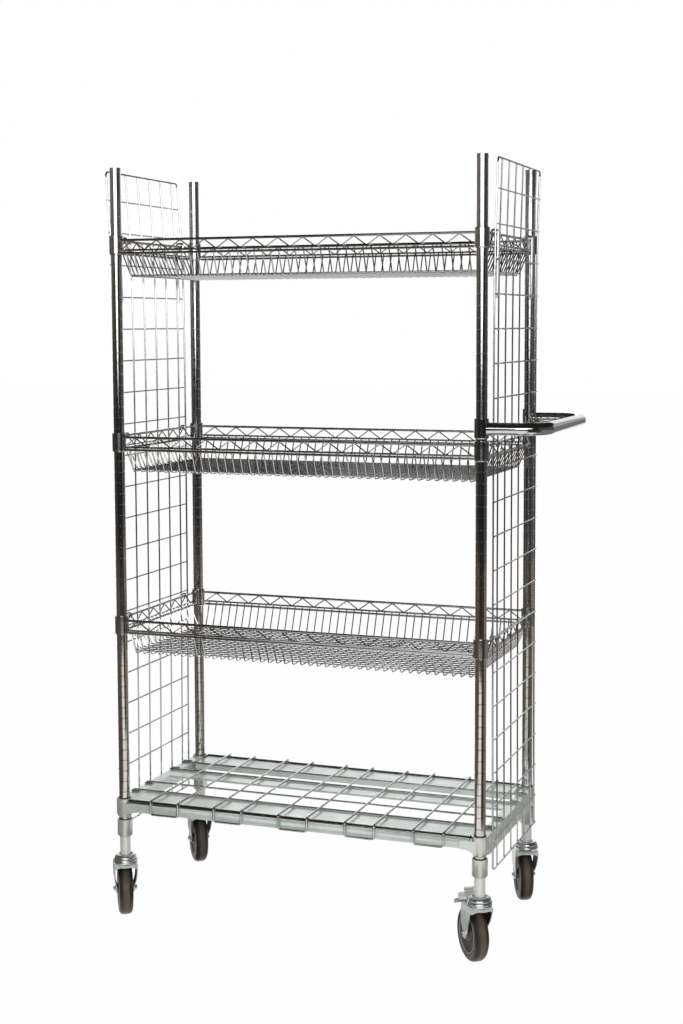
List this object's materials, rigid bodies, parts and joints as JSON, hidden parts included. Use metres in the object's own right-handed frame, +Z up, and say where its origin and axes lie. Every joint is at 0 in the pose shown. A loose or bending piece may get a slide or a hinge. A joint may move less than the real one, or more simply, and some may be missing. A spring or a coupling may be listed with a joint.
{
  "type": "order picking trolley",
  "caption": "Upright wire order picking trolley with sloped-side baskets, hung side grids, a base deck, a tubular push handle and swivel castors.",
  "frame": {"origin": "on the floor, under the middle of the whole trolley's box", "axes": "+Z up, +X along the long side towards the push handle, +Y from the front to the back"},
  "size_m": [1.0952, 0.5434, 1.7783],
  "materials": {
    "chrome": "bright nickel and chrome plate on steel tube and wire",
    "zinc": "clear zinc plate with a faint blue-green cast",
    "pale_zinc": "satin pale zinc plate",
    "tyre_rubber": "smooth dark brown-grey solid rubber",
    "hub_plastic": "moulded dark grey nylon"
  },
  "bodies": {
    "frame": {"post_front_left": "chrome", "post_cap_front_left": "chrome", "coupling_front_left": "pale_zinc", "post_front_right": "chrome", "post_cap_front_right": "chrome", "coupling_front_right": "pale_zinc", "post_back_right": "chrome", "post_cap_back_right": "chrome", "coupling_back_right": "pale_zinc", "post_back_left": "chrome", "post_cap_back_left": "chrome", "coupling_back_left": "pale_zinc", "lower_basket_mat": "chrome", "lower_basket_front": "chrome", "lower_basket_back": "chrome", "lower_basket_left_end": "chrome", "lower_basket_right_end": "chrome", "middle_basket_mat": "chrome", "middle_basket_front": "chrome", "middle_basket_back": "chrome", "middle_basket_left_end": "chrome", "middle_basket_right_end": "chrome", "top_basket_mat": "chrome", "top_basket_front": "chrome", "top_basket_back": "chrome", "top_basket_left_end": "chrome", "top_basket_right_end": "chrome", "side_panel_left": "chrome", "side_panel_right": "chrome", "push_handle": "chrome", "base_front_rail": "zinc", "base_back_rail": "zinc", "base_middle_channel": "zinc", "base_left_rail": "zinc", "base_right_rail": "zinc", "base_wire_deck": "zinc", "castor_front_left_stem": "pale_zinc", "castor_front_right_stem": "pale_zinc", "castor_back_right_stem": "pale_zinc", "castor_back_left_stem": "pale_zinc"},
    "swivel_front_left": {"castor_front_left_fork": "zinc", "castor_front_left_axle": "zinc"},
    "wheel_front_left": {"castor_front_left_hub": "hub_plastic", "castor_front_left_tyre": "tyre_rubber"},
    "swivel_front_right": {"castor_front_right_fork": "zinc", "castor_front_right_axle": "zinc"},
    "wheel_front_right": {"castor_front_right_hub": "hub_plastic", "castor_front_right_tyre": "tyre_rubber"},
    "swivel_back_right": {"castor_back_right_fork": "zinc", "castor_back_right_axle": "zinc"},
    "wheel_back_right": {"castor_back_right_hub": "hub_plastic", "castor_back_right_tyre": "tyre_rubber"},
    "swivel_back_left": {"castor_back_left_fork": "zinc", "castor_back_left_axle": "zinc"},
    "wheel_back_left": {"castor_back_left_hub": "hub_plastic", "castor_back_left_tyre": "tyre_rubber"},
    "brake_front_right": {"castor_front_right_brake_pedal": "zinc"}
  },
  "joints": [
    {"name": "swivel_front_left_turn", "type": "hinge", "parent": "frame", "child": "swivel_front_left", "pos_m": [-0.47933, -0.24167, 0.13], "axis": [0, 0, 1], "continuous": true},
    {"name": "wheel_front_left_spin", "type": "hinge", "parent": "swivel_front_left", "child": "wheel_front_left", "pos_m": [-0.49929, -0.20934, 0.0625], "axis": [0.8508, 0.5255, 0], "continuous": true},
    {"name": "swivel_front_right_turn", "type": "hinge", "parent": "frame", "child": "swivel_front_right", "pos_m": [0.39767, -0.24167, 0.13], "axis": [0, 0, 1], "continuous": true},
    {"name": "wheel_front_right_spin", "type": "hinge", "parent": "swivel_front_right", "child": "wheel_front_right", "pos_m": [0.37412, -0.21184, 0.0625], "axis": [0.7848, 0.6198, 0], "continuous": true},
    {"name": "swivel_back_right_turn", "type": "hinge", "parent": "frame", "child": "swivel_back_right", "pos_m": [0.39767, 0.17633, 0.13], "axis": [0, 0, 1], "continuous": true},
    {"name": "wheel_back_right_spin", "type": "hinge", "parent": "swivel_back_right", "child": "wheel_back_right", "pos_m": [0.38186, 0.21088, 0.0625], "axis": [0.9092, 0.4163, 0], "continuous": true},
    {"name": "swivel_back_left_turn", "type": "hinge", "parent": "frame", "child": "swivel_back_left", "pos_m": [-0.47933, 0.17633, 0.13], "axis": [0, 0, 1], "continuous": true},
    {"name": "wheel_back_left_spin", "type": "hinge", "parent": "swivel_back_left", "child": "wheel_back_left", "pos_m": [-0.50166, 0.20708, 0.0625], "axis": [0.809, 0.5878, 0], "continuous": true},
    {"name": "brake_pedal_tip", "type": "hinge", "parent": "swivel_front_right", "child": "brake_front_right", "pos_m": [0.3704, -0.20714, 0.14], "axis": [-0.7848, -0.6198, 0], "range_deg": [0, 10]}
  ]
}
